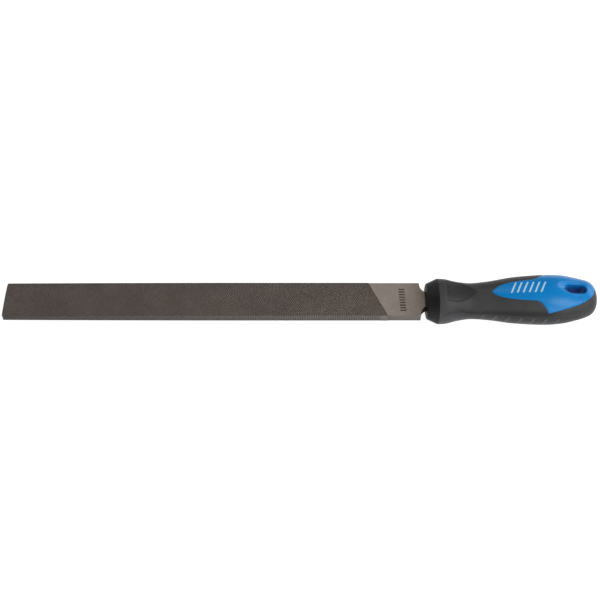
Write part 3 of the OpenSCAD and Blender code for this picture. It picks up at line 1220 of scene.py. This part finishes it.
def core_point(s, angle, side):
    _, y, z = on_handle(s, angle)
    return on_handle(s, angle, seam_drop(s, y, side * z) + dish_drop(s, y))


def window_middle(s, share):
    """Offset of the line that splits the window in front of the hang hole and behind it."""
    if s < HOLE_S:
        middle = share * (curve_offset(NEAR_CURVES, s) + curve_offset(FAR_CURVES, s)) / 2
        return blend(middle, HOLE_Y - HOLE_REACH * HOLE_SIN, smoothstep(WINDOW_FRONT, HOLE_FRONT, s))
    end = share * NEAR_CURVES[-1][3][1]
    return blend(HOLE_Y + HOLE_REACH * HOLE_SIN, end, smoothstep(HOLE_BACK, WINDOW_BACK, s))


def lip_highlight(x, y):
    """1 on the crisp front and far edge of the dish, where a painted highlight goes, 0 away from it."""
    s = front_distance(x, y)
    off = abs(dish_inside(s, y) - 0.3)
    far_front = (1 - smoothstep(HOLE_S, HOLE_S + 4, s)) * smoothstep(-3, 1, y - HOLE_Y)
    return (1 - smoothstep(0.1, 0.42, off)) * far_front


def bore_shade(x, y, z):
    """0 at the rim of the hang hole, rising to 1 inside it."""
    s = front_distance(x, y)
    if slot_distance(s, y) > 0.1:
        return 0.0
    rim = abs(on_handle(s, angle_of(s, y))[2])
    return 1 - smoothstep(0.45, 0.9, abs(z) / rim)


def window_rows(places, side, share):
    """Rows of points on one face of the core, on the near and on the far side of the hang hole."""
    near_rows = []
    far_rows = []
    for s in places:
        near_angle, far_angle = window_angles(s, share)
        if HOLE_FRONT < s < HOLE_BACK:
            low, high = [angle_of(s, y) for y in hole_edges(s)]
        else:
            low = high = angle_of(s, window_middle(s, share))
        for rows, start, end in ((near_rows, near_angle, low), (far_rows, high, far_angle)):
            rows.append([core_point(s, t, side) for t in column_angles(s, start, end, CORE_COLUMNS)])
    return near_rows, far_rows


def build_core():
    """The part of the core that shows: a solid plug through the handle with the hang hole in it."""
    shape = Shape()
    places = [s for s in handle_places() if WINDOW_FRONT - TINY <= s <= WINDOW_BACK + TINY]
    top_near, top_far = window_rows(places, 1, TOP_SHARE)
    under_near, under_far = window_rows(places, -1, UNDER_SHARE)
    for side, halves in ((1, (top_near, top_far)), (-1, (under_near, under_far))):
        shape.side = side
        for rows in halves:
            shape.grid(rows, turn=True)
    shape.side = 1

    def seam_wall(top, under, turn):
        shape.grid([top, [(x, y, -z) for x, y, z in under]], turn=turn)

    seam_wall([row[0] for row in top_near], [row[0] for row in under_near], True)
    seam_wall([row[-1] for row in top_far], [row[-1] for row in under_far], False)
    in_hole = [i for i, s in enumerate(places) if HOLE_FRONT - TINY <= s <= HOLE_BACK + TINY]
    levels = (1, 0.94, 0.85, 0.7, 0.5, 0, -0.5, -0.7, -0.85, -0.94, -1)
    near_rim = [top_near[i][-1] for i in in_hole]
    far_rim = [top_far[i][0] for i in in_hole]
    for rim, turn in ((near_rim, False), (far_rim, True)):
        shape.grid([[(x, y, z * k) for x, y, z in rim] for k in levels], turn=turn)
    core = mesh_object("handle_core_window", shape, [core_plastic()], 50)
    paint(core, "bore", [bore_shade(*p) for p in shape.points])
    paint(core, "dish_lip_highlight", [lip_highlight(x, y) for x, y, _ in shape.points])
    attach(core, "root")
    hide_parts("handle_core")


def build_spine():
    """The hidden front of the core: a tube inside the grip, round the tang."""
    shape = Shape()
    inset = GRIP_THICKNESS + 0.35
    wall = 4.0
    places = [inset + i * 2.5 for i in range(28)]
    columns = 48
    angles = [2 * math.pi * k / columns for k in range(columns)] + [0]
    rows = [[on_handle(s, a, inset) for a in angles] for s in places]
    rows += [[on_handle(s, a, inset + wall) for a in angles] for s in reversed(places)]
    shape.grid(rows + rows[:1])
    spine = mesh_object("handle_core_spine", shape, [core_plastic()], 50)
    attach(spine, "root")


# Generic print on the core: slanted strokes, each (distance from the front, offset, length, width)
PRINT_STROKES = [(61.5 + 4.2 * i, 1.2, 9.0, 1.3) for i in range(6)]
PRINT_LEAN = 0.45
PRINT_HEIGHT = 0.03


def build_print():
    """Pad-printed strokes that follow the upper surface of the core."""
    shape = Shape()
    across_steps = 14
    along_steps = 3
    for s0, y0, length, width in PRINT_STROKES:
        layers = []
        for lift in (PRINT_HEIGHT, -PRINT_HEIGHT):
            rows = []
            for i in range(along_steps + 1):
                row = []
                for k in range(across_steps + 1):
                    y = y0 + length * (k / across_steps - 0.5)
                    s = s0 + width * (i / along_steps - 0.5) + PRINT_LEAN * (y - y0)
                    row.append(on_handle(s, angle_of(s, y), -lift))
                rows.append(row)
            layers.append(rows)
        shape.grid(layers[0], turn=True)
        shape.grid(layers[1])
        rims = []
        for rows in layers:
            there = rows[0] + [r[-1] for r in rows[1:]]
            rims.append(there + rows[-1][-2::-1] + [r[0] for r in rows[-2::-1]])
        shape.grid(rims)
    mark = mesh_object("printed_strokes", shape, [print_ink()], 50)
    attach(mark, "root")


random.seed(7)
add_camera()
add_studio()
add_floor()
build_blade()
build_grip()
build_core()
build_spine()
build_print()
